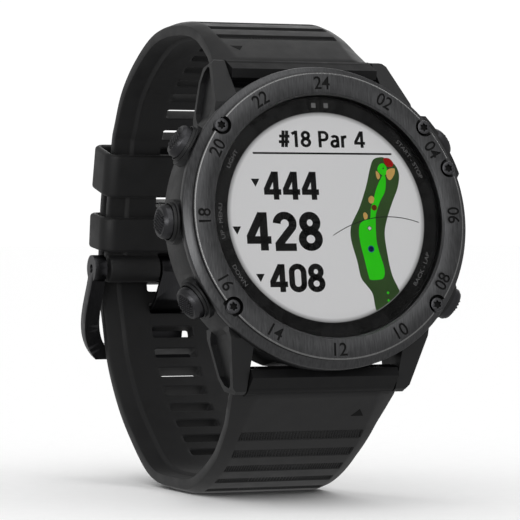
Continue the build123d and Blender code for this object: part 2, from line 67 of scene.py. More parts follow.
# The strap's outer lines, as (y, z) in millimetres
SHORT_OUTER = ((-24.2, 74.5), (-16.6, 78.4), (-8.5, 81.5), (0.0, 82.4), (11.6, 81.3),
               (20.0, 77.8), (26.0, 74.0), (30.4, 69.6), (33.1, 65.2), (34.3, 63.0))
UPPER_RUN = ((34.3, 63.0), (37.4, 50.6))
LOWER_RUN = ((37.75, 48.4), (38.85, 39.4))
LONG_FRONT = ((-34.2, 18.8), (-26.9, 12.0), (-21.1, 7.1), (-12.6, 2.2), (-4.0, 0.0))
LONG_BACK = ((4.0, 0.0), (13.2, 1.1), (22.9, 6.4), (28.9, 11.0), (34.3, 16.9),
             (37.7, 22.4), (39.5, 27.4), (41.3, 32.2), (42.2, 35.8))
PIN = (36.3, 38.7)
STRAP_T, ROOT_T, STRAP_GAP = 3.2, 3.5, 0.15
SLOT_HALF_W, SLOT_HALF_H, SLOT_R = 4.05, 1.05, 0.4
LINE_STEP = 0.25


def case_point(u, v, h):
    """Case frame to the watch frame, in millimetres."""
    y = CASE_Y + v * math.sin(LEAN) - h * math.cos(LEAN)
    z = CASE_Z + v * math.cos(LEAN) + h * math.sin(LEAN)
    return (u, y, z)


def polar(radius, angle):
    """A point on the case, with the angle clockwise from 12 o'clock."""
    a = math.radians(angle)
    return radius * math.sin(a), radius * math.cos(a)


# ---- materials
def new_material(name, color, rough, metallic=0.0, **sockets):
    """A Principled material with its node tree at hand."""
    mat = bpy.data.materials.new(name)
    mat.use_nodes = True
    shader = mat.node_tree.nodes["Principled BSDF"]
    shader.inputs["Base Color"].default_value = (*color, 1)
    shader.inputs["Roughness"].default_value = rough
    shader.inputs["Metallic"].default_value = metallic
    for key, value in sockets.items():
        shader.inputs[key.replace("_", " ")].default_value = value
    return mat, shader


def add(mat, kind, **values):
    """A node of a material or world, with its settings and unlinked inputs filled in."""
    node = mat.node_tree.nodes.new(kind)
    for key, value in values.items():
        if key in node.inputs:
            node.inputs[key].default_value = value
        else:
            setattr(node, key, value)
    return node


def case_coords(mat):
    """The case frame's coordinates, so that a finish follows the leaning face."""
    coords = add(mat, "ShaderNodeTexCoord")
    mapping = add(mat, "ShaderNodeMapping", vector_type="TEXTURE")
    mapping.inputs["Location"].default_value = (0, CASE_Y * MM, CASE_Z * MM)
    mapping.inputs["Rotation"].default_value = (math.pi / 2 - LEAN, 0, 0)
    mat.node_tree.links.new(coords.outputs["Object"], mapping.inputs["Vector"])
    return mapping.outputs["Vector"]


def per_mm(mat, vector, factors):
    """Coordinates times a factor on each axis, in units per millimetre."""
    node = add(mat, "ShaderNodeVectorMath", operation="MULTIPLY")
    node.inputs[1].default_value = [f / MM for f in factors]
    mat.node_tree.links.new(vector, node.inputs[0])
    return node.outputs[0]


def noise(mat, vector, stretch, detail=3.0):
    """A noise value on stretched coordinates, with stretch in cells per millimetre."""
    scaled = per_mm(mat, vector, stretch)
    tex = add(mat, "ShaderNodeTexNoise", Scale=1.0, Detail=detail)
    mat.node_tree.links.new(scaled, tex.inputs["Vector"])
    return tex.outputs["Fac"]


def noise_span(mat, fac, low=0.0, high=1.0):
    """A noise value, spread from low to high over the part that it really covers."""
    span = add(mat, "ShaderNodeMapRange",
               **{"From Min": 0.3, "From Max": 0.7, "To Min": low, "To Max": high})
    mat.node_tree.links.new(fac, span.inputs["Value"])
    return span.outputs["Result"]


def tint(mat, shader, fac, color, vary):
    """Base colour that a noise value moves to both sides of a colour."""
    links = mat.node_tree.links
    span = noise_span(mat, fac)
    mix = add(mat, "ShaderNodeMix", data_type="RGBA")
    mix.inputs["A"].default_value = (*[c * (1 - vary) for c in color], 1)
    mix.inputs["B"].default_value = (*[min(1, c * (1 + vary)) for c in color], 1)
    links.new(span, mix.inputs["Factor"])
    links.new(mix.outputs["Result"], shader.inputs["Base Color"])


def vary_rough(mat, shader, fac, low, high):
    """Roughness from low to high with a noise value."""
    mat.node_tree.links.new(noise_span(mat, fac, low, high), shader.inputs["Roughness"])


def bump(mat, shader, fac, depth_mm, strength=1.0):
    """A fine surface relief from a noise value."""
    node = add(mat, "ShaderNodeBump", Strength=strength, Distance=depth_mm * MM)
    mat.node_tree.links.new(fac, node.inputs["Height"])
    mat.node_tree.links.new(node.outputs["Normal"], shader.inputs["Normal"])


def moulded(name, color, rough, grain=6.0, depth=0.02, vary=0.18, spread=0.06, **sockets):
    """Moulded plastic, rubber or glass: fine grain, slow mottling, uneven gloss."""
    mat, shader = new_material(name, color, rough, **sockets)
    coords = add(mat, "ShaderNodeTexCoord").outputs["Object"]
    fine = noise(mat, coords, (grain, grain, grain), 2.0)
    slow = noise(mat, coords, (0.35, 0.35, 0.35), 4.0)
    tint(mat, shader, slow, color, vary)
    vary_rough(mat, shader, slow, max(0.02, rough - spread), min(1, rough + spread))
    bump(mat, shader, fine, depth)
    return mat


def brushed(name, color, rough, stretch, depth=0.006, vary=0.3, spread=0.1, metallic=1.0,
            **sockets):
    """Brushed metal with streaks along the axis that stretch holds small."""
    mat, shader = new_material(name, color, rough, metallic, **sockets)
    streak = noise(mat, case_coords(mat), stretch, 4.0)
    tint(mat, shader, streak, color, vary)
    vary_rough(mat, shader, streak, rough - spread, rough + spread)
    bump(mat, shader, streak, depth)
    return mat


def grey(value):
    return (value, value, value)


SILICONE = moulded("silicone", (0.0105, 0.0105, 0.0110), 0.52, grain=9, depth=0.012, vary=0.12,
                   Specular_IOR_Level=0.42, Sheen_Weight=0.08, Sheen_Roughness=0.45)
POLYMER = moulded("case polymer", (0.0095, 0.0098, 0.0105), 0.46, grain=7, depth=0.016, vary=0.15,
                  Specular_IOR_Level=0.5)
# Darker than the case polymer: painted shade on the recessed connector under the bezel
SHADED_CONNECTOR = moulded("connector polymer painted shade", (0.007, 0.007, 0.0075), 0.6, grain=8, depth=0.012,
                    Specular_IOR_Level=0.3)
TITANIUM = brushed("bezel titanium", (0.098, 0.0985, 0.101), 0.36, (7.0, 0.55, 2.0),
                   depth=0.004, vary=0.26, spread=0.05)
# A dark copy of the bezel titanium: painted shade in the numerals' engraving
ENGRAVED_SHADE = brushed("engraved titanium painted shade", grey(0.022), 0.5, (7.0, 0.55, 2.0), vary=0.2)
# The bezel's polished edge: its lower roughness is real, its lighter colour is a painted highlight
EDGE_HIGHLIGHT = brushed("polished bezel edge painted highlight", grey(0.30), 0.26, (2.0, 2.0, 2.0), vary=0.1)
# A dark copy of the silicone: painted shade on the upper strap's root end and in the arrowhead
# marks
SILICONE_SHADE = moulded("silicone painted shade", grey(0.0055), 0.7, grain=9, depth=0.01, Specular_IOR_Level=0.2)
# Painted shade in the screws' sockets and in the seats round their heads
SOCKET_SHADE = moulded("socket shadow", grey(0.004), 0.6, grain=6, Specular_IOR_Level=0.2)
GUNMETAL = brushed("button steel", (0.07, 0.07, 0.074), 0.38, (6.0, 6.0, 1.0), vary=0.12,
                   spread=0.05, depth=0.002)
BUCKLE = brushed("buckle steel", (0.07, 0.07, 0.074), 0.32, (8.0, 0.6, 0.6), vary=0.10,
                 spread=0.04, depth=0.002)
SCREW = brushed("screw steel", (0.10, 0.10, 0.105), 0.32, (4.0, 4.0, 1.0), vary=0.12)

# The finish of each slot of the record
BY_SLOT = {
    "case_polymer": POLYMER, "bezel_titanium": TITANIUM, "button_steel": GUNMETAL,
    "buckle_steel": BUCKLE, "screw_steel": SCREW, "strap_silicone": SILICONE,
    "connector_polymer": SHADED_CONNECTOR,
    "seal_rubber": moulded("seal rubber", grey(0.012), 0.6, grain=8),
    "bright_steel": brushed("bright steel", (0.5, 0.5, 0.5), 0.3, (4.0, 4.0, 1.0), vary=0.1),
    "rear_steel": brushed("rear steel", (0.16, 0.16, 0.165), 0.34, (0.5, 5.0, 1.0), vary=0.25),
    "mask_black": moulded("mask black", grey(0.002), 0.16, grain=4, depth=0.001, spread=0.03,
                          Specular_IOR_Level=0.4),
    "board_green": moulded("board green", (0.01, 0.09, 0.035), 0.45, grain=5),
    "chip_black": moulded("chip black", grey(0.02), 0.5, grain=8),
    "contact_gold": brushed("contact gold", (0.75, 0.5, 0.16), 0.28, (4.0, 4.0, 1.0), vary=0.1),
    "antenna_copper": brushed("antenna copper", (0.72, 0.33, 0.18), 0.32, (1.0, 5.0, 5.0),
                              vary=0.12),
    "cell_foil": brushed("cell foil", (0.55, 0.55, 0.56), 0.36, (2.0, 0.6, 2.0), vary=0.12),
    "frame_polymer": moulded("frame polymer", grey(0.05), 0.5),
    "display_grey": moulded("display grey", grey(0.12), 0.4),
    "backlight_white": moulded("backlight white", grey(0.7), 0.4, vary=0.05),
    "sensor_glass": moulded("sensor glass", (0.012, 0.012, 0.014), 0.1, grain=3, depth=0.001,
                            spread=0.04, Coat_Weight=0.6, Coat_Roughness=0.05),
    "led_yellow": moulded("led yellow", (0.75, 0.72, 0.3), 0.35, vary=0.06),
    "lens_glass": moulded("lens glass", grey(0.01), 0.08, grain=2, depth=0.0, spread=0.03,
                          Alpha=0.07),
}


# ---- mesh helpers
def new_object(name, data):
    """An object in the scene."""
    obj = bpy.data.objects.new(name, data)
    bpy.context.scene.collection.objects.link(obj)
    return obj


def new_mesh(name, verts, faces):
    """A mesh from points in millimetres."""
    mesh = bpy.data.meshes.new(name)
    mesh.from_pydata([(x * MM, y * MM, z * MM) for x, y, z in verts], [], faces)
    return mesh


def evaluated_mesh(obj):
    """A copy of what an object's curve or modifiers make."""
    bpy.context.view_layer.update()
    graph = bpy.context.evaluated_depsgraph_get()
    return bpy.data.meshes.new_from_object(obj.evaluated_get(graph))


def piece(name, verts, faces, mat, body="watch", slot=None, replaces=(), angle=32.0, inks=None):
    """A mesh piece from points in millimetres; inks gives a material number per face."""
    mesh = new_mesh(name, verts, faces)
    mats = mat if isinstance(mat, (list, tuple)) else [mat]
    for m in mats:
        mesh.materials.append(m)
    if inks is not None:
        mesh.polygons.foreach_set("material_index", inks)
    mesh.validate()
    finish_piece(new_object(name, mesh), body, replaces, angle)


def face_outwards(mesh):
    bm = bmesh.new()
    bm.from_mesh(mesh)
    bmesh.ops.recalc_face_normals(bm, faces=bm.faces)
    bm.to_mesh(mesh)
    bm.free()


def finish_piece(obj, body, replaces, angle=32.0):
    """Outward faces, smooth shading with sharp edges, and what the piece stands for."""
    face_outwards(obj.data)
    obj.data.shade_smooth()
    obj.data.set_sharp_from_angle(angle=math.radians(angle))
    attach(obj, body)
    if replaces:
        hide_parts(*replaces)


def ring_faces(rows, n):
    """The quads of rows of n points, closed both ways."""
    steps = [(i, (i + 1) % rows, k, (k + 1) % n) for i in range(rows) for k in range(n)]
    return [(i * n + k, i * n + m, j * n + m, j * n + k) for i, j, k, m in steps]


def lathe(profile, segments, place):
    """A closed profile of (radius, height) turned about an axis; place maps a local point."""
    verts = []
    for i in range(segments):
        a = 2 * math.pi * i / segments
        verts += [place(r * math.sin(a), r * math.cos(a), h) for r, h in profile]
    return verts, ring_faces(segments, len(profile))


def circle(u, v, r, n=24):
    """Points of a circle, clockwise from 12 o'clock."""
    turns = [2 * math.pi * i / n for i in range(n)]
    return [(u + r * math.sin(a), v + r * math.cos(a)) for a in turns]


def bow(cx, cy, rx, ry, start, end, steps=14):
    """Points of an elliptical arc, with angles counter-clockwise from +x in degrees."""
    turns = [math.radians(start + (end - start) * i / steps) for i in range(steps + 1)]
    return [(cx + rx * math.cos(t), cy + ry * math.sin(t)) for t in turns]


def merge(parts):
    """Several (verts, faces) lists as one."""
    verts, faces = [], []
    for v, f in parts:
        base = len(verts)
        verts += v
        faces += [tuple(base + i for i in face) for face in f]
    return verts, faces


# ---- strap lines
def clamped(points, first, last):
    """A smooth cubic through points with unit end tangents, as closely spaced points."""
    pts = np.array(points, float)
    gap = np.linalg.norm(np.diff(pts, axis=0), axis=1)
    count = len(pts)
    left, right = np.zeros((count, count)), np.zeros((count, 2))
    left[0, 0] = left[-1, -1] = 1
    right[0], right[-1] = first, last
    for i in range(1, count - 1):
        before, after = gap[i - 1], gap[i]
        left[i, i - 1], left[i, i], left[i, i + 1] = after, 2 * (before + after), before
        pull = after * (pts[i] - pts[i - 1]) / before + before * (pts[i + 1] - pts[i]) / after
        right[i] = 3 * pull
    slope = np.linalg.solve(left, right)
    out = []
    for i in range(count - 1):
        t = np.linspace(0, 1, max(2, math.ceil(gap[i] / LINE_STEP)), endpoint=False)[:, None]
        out.append((2 * t**3 - 3 * t**2 + 1) * pts[i] + (t**3 - 2 * t**2 + t) * gap[i] * slope[i]
                   + (3 * t**2 - 2 * t**3) * pts[i + 1] + (t**3 - t**2) * gap[i] * slope[i + 1])
    out.append(pts[-1:])
    return np.vstack(out)


def unit(vector):
    return np.array(vector, float) / np.linalg.norm(vector)


def run_frame(run):
    """Start, end, direction and outward side of a straight run."""
    a, b = np.array(run[0]), np.array(run[1])
    along = unit(b - a)
    return a, b, along, np.array((-along[1], along[0]))


def run_point(run, offset, part):
    """A point beside a straight run, away from the wrist, at a part of its length."""
    a, b, _, outward = run_frame(run)
    if outward[0] < 0:
        outward = -outward
    return a + (b - a) * part + outward * offset


class Path:
    """A strap's outer line, by length."""

    TANGENT_REACH = 0.3

    def __init__(self, *stretches):
        self.pts = np.vstack([stretches[0]] + [s[1:] for s in stretches[1:]])
        step = np.linalg.norm(np.diff(self.pts, axis=0), axis=1)
        self.s = np.concatenate(([0], np.cumsum(step)))
        self.length = self.s[-1]

    def point(self, s):
        return np.array([np.interp(s, self.s, self.pts[:, k]) for k in (0, 1)])

    def at(self, s):
        """Point and direction at a length."""
        ahead = self.point(min(self.length, s + self.TANGENT_REACH))
        behind = self.point(max(0.0, s - self.TANGENT_REACH))
        return self.point(s), unit(ahead - behind)


def line(a, b):
    """A straight line as closely spaced points."""
    a, b = np.array(a), np.array(b)
    steps = np.linspace(0, 1, max(2, math.ceil(np.linalg.norm(b - a) / LINE_STEP)))
    return a + (b - a) * steps[:, None]


UP_DIR, LOW_DIR = unit(np.subtract(*UPPER_RUN[::-1])), unit(np.subtract(*LOWER_RUN[::-1]))
SHORT = Path(clamped(SHORT_OUTER, unit((0.88, 0.475)), UP_DIR), line(*UPPER_RUN),
             clamped((UPPER_RUN[1], LOWER_RUN[0]), UP_DIR, LOW_DIR), line(*LOWER_RUN))
# The 6 o'clock strap lies on the 12 o'clock one behind the wrist, this far out
PROUD = STRAP_T + STRAP_GAP
JOIN = run_point(LOWER_RUN, PROUD, 0.98)
LOW_END, UP_START = run_point(LOWER_RUN, PROUD, 0), run_point(UPPER_RUN, PROUD, 1)
LONG = Path(clamped(LONG_FRONT, unit((0.74, -0.67)), (1, 0)), line(LONG_FRONT[-1], LONG_BACK[0]),
            clamped((*LONG_BACK, JOIN), (1, 0), -LOW_DIR), line(JOIN, LOW_END),
            clamped((LOW_END, UP_START), -LOW_DIR, -UP_DIR),
            line(UP_START, run_point(UPPER_RUN, PROUD, 0.3)))


# ---- straps
# The outer skin lies this far under the outer line, which keeps the strap inside its own box
SKIN = 0.01
# Columns from the strap's middle: to a slot's edge, the bands' end, the side and the loop's notch
SLOT_K, TOOTH_K, SIDE_K, NOTCH_K = 14, 44, 48, 11
# The first two columns beyond a slot's edge
SLOT_MARGINS = (0.22, 0.6)
# The outer face's bevel and the inner face's rim, as (in from the side, depth)
BEVEL = ((2.2, 0.0), (1.9, 0.04), (0.35, 0.60), (0.08, 0.76), (0.0, 1.0))
RIM = ((3.9, 0.0), (3.7, 0.04), (3.2, 0.56), (3.0, 0.62), (0.5, 0.62), (0.12, 0.74), (0.0, 1.05))
# Half widths at the root, in the middle of the taper and at the waist
HALF_WIDTHS = (14.9, 13.7, 13.0)
# The root: where its thickening, its rounder edges and its slanted end fade out
THICK_RUN, ROUND_RUN, SLANT_RUN = 14.0, 13.0, 20.0
ROOT_DEEPER, MAX_SLANT, SLANT_STEP = 1.2, 12, 0.1
# Rows: the first one, their spacing, and those round a slot's end
ROW_START, ROW_STEP, END_ROW = 0.2, 1.0, 0.45
SLOT_ROWS = (0.2, 0.0, -0.1, -0.24, -0.4)
# The pocket of the quick-release latch: its end, half width, floor and edge rows
POCKET_END, POCKET_HALF_W, POCKET_FLOOR, POCKET_ROWS = 12.2, 6.35, 2.6, [8.6, 8.75]
# A serrated band: deepest floor, how much the floor rises, and the height of its teeth
BAND_DEEP, BAND_RISE, TOOTH, BAND_MARGIN = 0.46, 0.40, 0.24, 0.05
# How far the edges of holes and ends are eased
EASE = 0.14


def columns(half_w, slot_scale, root):
    """Half of the outer and inner columns' places across, and their depths."""
    outer, inner = [], []
    first = SLOT_HALF_W + SLOT_MARGINS[1]
    last = SIDE_K - len(RIM) + 1
    for k in range(SIDE_K + 1):
        d_out = d_in = 0.0
        beyond = k - SLOT_K - 2
        if k <= SLOT_K:
            x_out = x_in = SLOT_HALF_W * k / SLOT_K * slot_scale
        elif k == SLOT_K + 1:
            x_out = x_in = SLOT_HALF_W + SLOT_MARGINS[0]
        else:
            if k <= TOOTH_K:
                span = half_w - BEVEL[0][0] * (1 + root) - first
                x_out = first + span * beyond / (TOOTH_K - SLOT_K - 2)
            else:
                x_out = half_w - BEVEL[k - TOOTH_K][0] * (1 + root)
                d_out = BEVEL[k - TOOTH_K][1] * (1 + ROOT_DEEPER * root)
            if k < last:
                x_in = first + (half_w - RIM[0][0] - first) * beyond / (last - SLOT_K - 2)
            else:
                x_in, d_in = half_w - RIM[k - last][0], RIM[k - last][1]
        outer.append((x_out, d_out))
        inner.append((x_in, d_in))
    return outer, inner


def row_places(length, marks):
    """Row lengths: every mark, with even steps between them."""
    marks = sorted(set([ROW_START, length] + [m for m in marks if ROW_START < m < length]))
    rows = [marks[0]]
    for a, b in zip(marks, marks[1:]):
        steps = max(1, round((b - a) / ROW_STEP))
        rows += [a + (b - a) * i / steps for i in range(1, steps + 1)]
    return rows


def half_width(y, y_root, y_waist):
    """The plan taper from the lugs to the strap."""
    mid = (y_root + y_waist) / 2 - 1
    return float(np.interp(y, (y_root, mid, y_waist), HALF_WIDTHS))


def strap_mesh(path, side, taper, slots, bands, cut_v, notch=None):
    """The strap as two matching grids, with slots, serrated bands and a latch pocket.

    Gives points, faces and the faces of the root end, which is cut along the case's v = cut_v.
    """
    marks = []
    for s in slots:
        for d in SLOT_ROWS:
            marks += [s - SLOT_HALF_H - d, s + SLOT_HALF_H + d]
    for a, b in bands:
        marks += [a - 0.15, a, a + 0.1, (a + b) / 2, b - 0.1, b, b + 0.15]
    marks += [END_ROW, path.length - 0.3] + POCKET_ROWS
    if notch:
        marks += [notch - 0.2, notch]
    rows = row_places(path.length, marks)

    def inner_point(s_in):
        point, along = path.at(s_in)
        inward = np.array((-along[1], along[0])) * side
        root = max(0.0, 1 - s_in / THICK_RUN)
        return point, inward, STRAP_T + (ROOT_T - STRAP_T) * root * root

    shift = 0.0
    while shift < MAX_SLANT:
        point, inward, depth = inner_point(ROW_START + shift)
        y, z = point + inward * depth
        v = (y - CASE_Y) * math.sin(LEAN) + (z - CASE_Z) * math.cos(LEAN)
        if abs(v) >= abs(cut_v):
            break
        shift += SLANT_STEP

    count = 2 * SIDE_K + 1
    present = np.ones((len(rows) - 1, count - 1), bool)
    for i in range(len(rows) - 1):
        mid = (rows[i] + rows[i + 1]) / 2
        if any(abs(mid - s) < SLOT_HALF_H for s in slots):
            present[i, SIDE_K - SLOT_K:SIDE_K + SLOT_K] = False
        if notch and mid > notch:
            present[i, SIDE_K - NOTCH_K:SIDE_K + NOTCH_K] = False

    verts = []
    for layer in (0, 1):
        for i, s in enumerate(rows):
            away = min(abs(q - s) for q in slots)
            scale = 1.0
            if away <= SLOT_HALF_H + 1e-6:
                lift = max(0.0, away - (SLOT_HALF_H - SLOT_R)) / SLOT_R
                edge = SLOT_HALF_W - SLOT_R + SLOT_R * math.sqrt(max(0.0, 1 - lift * lift))
                scale = edge / SLOT_HALF_W
            point, along = path.at(s)
            half = half_width(point[0], *taper)
            outer, inner = columns(half, scale, max(0.0, 1 - s / ROUND_RUN) ** 1.5)
            band = [(s - a) / (b - a) for a, b in bands if a + BAND_MARGIN <= s <= b - BAND_MARGIN]
            if layer:
                s_in = s + shift * max(0.0, 1 - s / SLANT_RUN)
                point, inward, depth = inner_point(s_in)
            else:
                inward = np.array((-along[1], along[0])) * side
            for c in range(count):
                k = abs(c - SIDE_K)
                sign = 1 if c >= SIDE_K else -1
                x, d = (inner if layer else outer)[k]
                if layer:
                    deep = depth - d
                    if s_in <= POCKET_END and x <= POCKET_HALF_W:
                        deep = POCKET_FLOOR
                else:
                    deep = d + SKIN
                    if band and k < TOOTH_K:
                        fade = band[0] if side > 0 else 1 - band[0]
                        deep += BAND_DEEP - BAND_RISE * fade + TOOTH * (k % 2) * min(1.0, 2 * fade)
                cells = present[max(0, i - 1):i + 1, max(0, c - 1):c + 1]
                if 0 < c < count - 1 and (not cells.all() or i in (0, len(rows) - 1)):
                    deep += -EASE if layer else EASE
                verts.append((sign * x, *(point + inward * deep)))

    total = len(rows) * count
    faces, root_end = [], []

    def vid(layer, i, c):
        return layer * total + i * count + c

    for i in range(len(rows) - 1):
        for c in range(count - 1):
            if not present[i, c]:
                continue
            for layer in (0, 1):
                faces.append((vid(layer, i, c), vid(layer, i, c + 1),
                              vid(layer, i + 1, c + 1), vid(layer, i + 1, c)))
            sides = (((i, c), (i, c + 1), (i - 1, c)), ((i + 1, c + 1), (i + 1, c), (i + 1, c)),
                     ((i, c + 1), (i + 1, c + 1), (i, c + 1)), ((i + 1, c), (i, c), (i, c - 1)))
            for (i0, c0), (i1, c1), (ni, nc) in sides:
                inside = 0 <= ni < len(rows) - 1 and 0 <= nc < count - 1
                if not inside or not present[ni, nc]:
                    if ni < 0:
                        root_end.append(len(faces))
                    faces.append((vid(0, i0, c0), vid(0, i1, c1), vid(1, i1, c1), vid(1, i0, c0)))
    used = sorted({v for f in faces for v in f})
    number = {v: n for n, v in enumerate(used)}
    return [verts[v] for v in used], [tuple(number[v] for v in f) for f in faces], root_end


def triangle_mark(path, side, s, x):
    """A small arrowhead let into the strap's outer face, pointing to the case; its dark colour is
    painted shade.
    """
    verts = []
    for lift in (-0.3, 0.015):
        for dx, ds in ((-1.15, 0.9), (1.15, 0.9), (0, -0.9)):
            point, along = path.at(s + ds)
            outward = np.array((along[1], -along[0])) * side
            verts.append((x + dx, *(point + outward * lift)))
    return verts, [(0, 1, 2), (3, 5, 4), (0, 3, 4, 1), (1, 4, 5, 2), (2, 5, 3, 0)]


def pin_loop(low, high):
    """The strap's rounded loop round the buckle pin on one side of the tongue."""
    bore, shoulder, round_r, loop_r = 0.78, 2.2, 2.48, 2.6
    ends = [(bore, low), (shoulder, low), (round_r, low + 0.1), (loop_r, low + 0.4),
            (loop_r, high - 0.4), (round_r, high - 0.1), (shoulder, high), (bore, high)]
    return lathe(ends, 48, lambda a, b, h: (h, PIN[0] + a, PIN[1] + b))


# Bands and slots, by their place along each strap
UPPER_BANDS = [(9.0, 11.0), (13.7, 15.6), (18.6, 20.4), (23.4, 25.2)]
LOWER_BANDS = [(10.0, 12.4), (14.9, 17.3), (19.8, 22.1), (24.8, 26.9), (29.9, 32.0)]
UPPER_SLOTS = [33.2 + 4.6 * i for i in range(11)]
LOWER_SLOTS = [58.2 + 4.6 * i for i in range(14)]
# Where the plan taper starts and ends (y), the root's cut (v), and the tongue's notch
UPPER_TAPER, LOWER_TAPER = (-24.5, -11.0), (-32.5, -20.0)
ROOT_CUT_V, TONGUE_NOTCH = 26.2, 89.3
LOOP_FROM, LOOP_TO = 3.15, 13.0

*upper, root_end = strap_mesh(SHORT, -1, UPPER_TAPER, UPPER_SLOTS, UPPER_BANDS, ROOT_CUT_V,
                              notch=TONGUE_NOTCH)
upper = merge([upper, pin_loop(LOOP_FROM, LOOP_TO), pin_loop(-LOOP_TO, -LOOP_FROM)])
# The upper strap's root end face takes the dark silicone copy: painted shade
shade = [0] * len(upper[1])
for face in root_end:
    shade[face] = 1
piece("strap_upper_skin", *upper, [SILICONE, SILICONE_SHADE], slot="strap_silicone",
      replaces=["strap_upper"], inks=shade)
lower = strap_mesh(LONG, 1, LOWER_TAPER, LOWER_SLOTS, LOWER_BANDS, ROOT_CUT_V)[:2]
piece("strap_lower_skin", *lower, SILICONE, slot="strap_silicone", replaces=["strap_lower"])
# The arrowhead marks are dark inlays: painted shade of their recesses
piece("strap_upper_mark", *triangle_mark(SHORT, -1, 5.0, -9.0), SILICONE_SHADE, slot="strap_silicone")
piece("strap_lower_mark", *triangle_mark(LONG, 1, 5.4, 8.7), SILICONE_SHADE, slot="strap_silicone")


# ---- keepers
def keeper_mesh(run, part, length):
    """A strap loop with a fully rounded wall section."""
    along = run_frame(run)[2]
    centre = run_point(run, PROUD - (2 * STRAP_T + STRAP_GAP) / 2, part)
    outward = run_point(run, 1, part) - run_point(run, 0, part)
    inner_w, inner_t, wall = 13.3, (2 * STRAP_T + STRAP_GAP + 0.6) / 2, 1.5

    def rounded(half_w, half_t, r):
        corners = ((1, 1, 0), (-1, 1, 90), (-1, -1, 180), (1, -1, 270))
        return [q for cx, cy, start in corners
                for q in bow(cx * (half_w - r), cy * (half_t - r), r, r, start, start + 90, 8)]

    inner_r, outer_r = 0.55, 2.7
    inside = rounded(inner_w, inner_t, inner_r)
    outside = rounded(inner_w + wall, inner_t + wall, outer_r)
    half, soft, crown = length / 2, 0.62, 0.12
    corners = ((wall - soft, 1, 0), (soft, 1, 90), (soft, -1, 180), (wall - soft, -1, 270))
    section = [(t / wall, z) for middle, cz, start in corners
               for t, z in bow(middle, cz * (half - soft), soft, soft, start, start + 90, 5)]
    verts = []
    for (ix, iy), (ox, oy) in zip(inside, outside):
        for t, z in section:
            swell = -crown * (z / half) ** 2 if t > 0.7 else 0.0
            x, d = ix + (ox - ix) * t, iy + (oy - iy) * t
            reach = math.hypot(ox - ix, oy - iy)
            x += (ox - ix) / reach * swell
            d += (oy - iy) / reach * swell
            verts.append((x, *(centre + outward * d + along * z)))
    return verts, ring_faces(len(inside), len(section))


for keeper, run, part, length in (("keeper_free", UPPER_RUN, 0.5, 8.0),
                                  ("keeper_buckle", LOWER_RUN, 0.33, 6.4)):
    piece(keeper + "_band", *keeper_mesh(run, part, length), SILICONE, body=keeper,
          slot="strap_silicone", replaces=[keeper], angle=50)


# ---- lettering
def flat_text(text, weight=0.0, depth=0.0):
    """Glyphs as triangles with the text's box from (0, 0) to (width, 1)."""
    curve = bpy.data.curves.new("glyphs", "FONT")
    curve.body, curve.size, curve.offset, curve.extrude = text, 1.0, weight, depth
    curve.resolution_u = 6
    holder = new_object("glyphs", curve)
    mesh = evaluated_mesh(holder)
    bm = bmesh.new()
    bm.from_mesh(mesh)
    bmesh.ops.remove_doubles(bm, verts=bm.verts, dist=1e-5)
    bm.verts.ensure_lookup_table()
    co = np.array([v.co for v in bm.verts])
    faces = [tuple(v.index for v in f.verts) for f in bm.faces]
    bm.free()
    bpy.data.objects.remove(holder)
    bpy.data.curves.remove(curve)
    bpy.data.meshes.remove(mesh)
    low, high = co.min(0)[:2], co.max(0)[:2]
    co[:, :2] = (co[:, :2] - low) / (high[1] - low[1])
    return co, faces


# Each glyph: its width and the centre lines of its strokes, in units of its height
GLYPHS = {
    "0": (0.60, [bow(0.30, 0.70, 0.21, 0.215, 0, 180) + bow(0.30, 0.30, 0.21, 0.215, 180, 360)
                 + [(0.51, 0.70)]]),
    "1": (0.42, [[(0.28, 0.0), (0.28, 1.0)], [(0.30, 0.93), (0.04, 0.80)]]),
    "2": (0.60, [bow(0.30, 0.70, 0.205, 0.215, 178, -28) + [(0.10, 0.13)],
                 [(0.03, 0.085), (0.57, 0.085)]]),
    "4": (0.64, [[(0.44, 0.0), (0.44, 1.0)], [(0.40, 0.97), (0.08, 0.33)],
                 [(0.0, 0.275), (0.62, 0.275)]]),
    "8": (0.60, [bow(0.30, 0.725, 0.175, 0.19, -90, 270, 24),
                 bow(0.30, 0.295, 0.21, 0.21, -90, 270, 24)]),
    "#": (0.62, [[(0.22, 0.0), (0.30, 1.0)], [(0.42, 0.0), (0.50, 1.0)],
                 [(0.06, 0.66), (0.64, 0.66)], [(0.02, 0.32), (0.60, 0.32)]]),
    "P": (0.58, [[(0.08, 0.0), (0.08, 1.0)],
                 [(0.08, 0.92), (0.30, 0.92)] + bow(0.30, 0.685, 0.20, 0.235, 90, -90)
                 + [(0.08, 0.45)]]),
    "a": (0.50, [bow(0.24, 0.52, 0.17, 0.16, 150, 20) + [(0.41, 0.40), (0.41, 0.0)],
                 [(0.41, 0.40), (0.24, 0.40)] + bow(0.22, 0.225, 0.155, 0.165, 90, 270)
                 + [(0.30, 0.07), (0.41, 0.20)]]),
    "r": (0.32, [[(0.08, 0.0), (0.08, 0.72)],
                 [(0.08, 0.50), (0.14, 0.61), (0.22, 0.66), (0.32, 0.655)]]),
    " ": (0.22, []),
}


